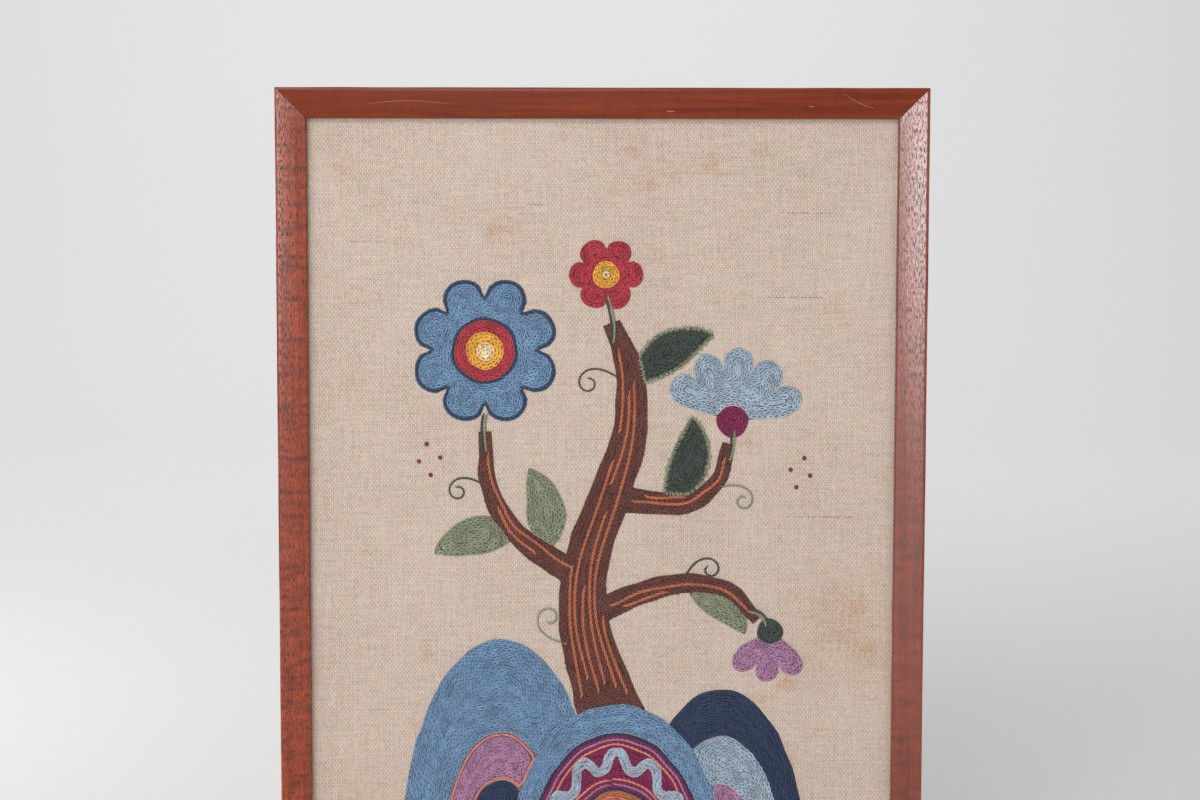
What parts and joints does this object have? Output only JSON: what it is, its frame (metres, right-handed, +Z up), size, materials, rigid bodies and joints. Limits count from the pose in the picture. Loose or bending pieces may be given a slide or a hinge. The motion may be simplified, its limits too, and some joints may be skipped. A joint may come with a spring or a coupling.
{
  "type": "framed crewel embroidery panel",
  "caption": "Upright linen panel worked in coloured crewel wool with a flowering tree on mounds, stretched in a slim mitred hardwood frame.",
  "frame": {"origin": "middle of the underside of the frame's bottom member, on the surface that the panel stands on", "axes": "+Z up the panel, +X to the right as its stitched face is seen, +Y to its back, so the stitched face looks along -Y"},
  "size_m": [0.331, 0.022, 0.481],
  "materials": {
    "hardwood": "oiled and waxed reddish-brown hardwood with short dark pores, satin",
    "linen": "natural ribbed plain weave, matt, lightly spotted with age",
    "wool_brown": "two-ply crewel wool, worked in chain and stem stitch, matt",
    "wool_terracotta": "two-ply crewel wool, worked in chain and stem stitch, matt",
    "wool_blue": "two-ply crewel wool, worked in chain and stem stitch, matt",
    "wool_light_blue": "two-ply crewel wool, worked in chain and stem stitch, matt",
    "wool_navy": "two-ply crewel wool, worked in chain and stem stitch, matt",
    "wool_mauve": "two-ply crewel wool, worked in chain and stem stitch, matt",
    "wool_crimson": "two-ply crewel wool, worked in chain and stem stitch, matt",
    "wool_yellow": "two-ply crewel wool, worked in chain and stem stitch, matt",
    "wool_cream": "two-ply crewel wool, worked in chain and stem stitch, matt",
    "wool_dark_green": "two-ply crewel wool, worked in chain and stem stitch, matt",
    "wool_sage": "two-ply crewel wool, worked in chain and stem stitch, matt",
    "wool_wine": "two-ply crewel wool, worked in chain and stem stitch, matt"
  },
  "bodies": {
    "root": {"frame_top": "hardwood", "frame_bottom": "hardwood", "frame_left": "hardwood", "frame_right": "hardwood", "linen_sheet": "linen", "trunk": "wool_brown", "mound_front_outer": "wool_blue", "mound_front_band": "wool_wine", "mound_front_core": "wool_terracotta", "mound_left_outer": "wool_blue", "mound_left_band": "wool_mauve", "mound_left_core": "wool_navy", "mound_right_outer": "wool_navy", "mound_right_band": "wool_light_blue", "mound_right_core": "wool_mauve", "rosette_petals": "wool_blue", "rosette_ring": "wool_crimson", "rosette_mid": "wool_yellow", "rosette_core": "wool_cream", "blossom_petals": "wool_crimson", "blossom_core": "wool_yellow", "fan_petals": "wool_light_blue", "fan_heart": "wool_wine", "bell_petals": "wool_mauve", "bell_cap": "wool_dark_green", "leaf_dark_top": "wool_dark_green", "leaf_dark_right": "wool_dark_green", "leaf_sage_upper": "wool_sage", "leaf_sage_outer": "wool_sage", "leaf_sage_low": "wool_sage"}
  },
  "joints": []
}
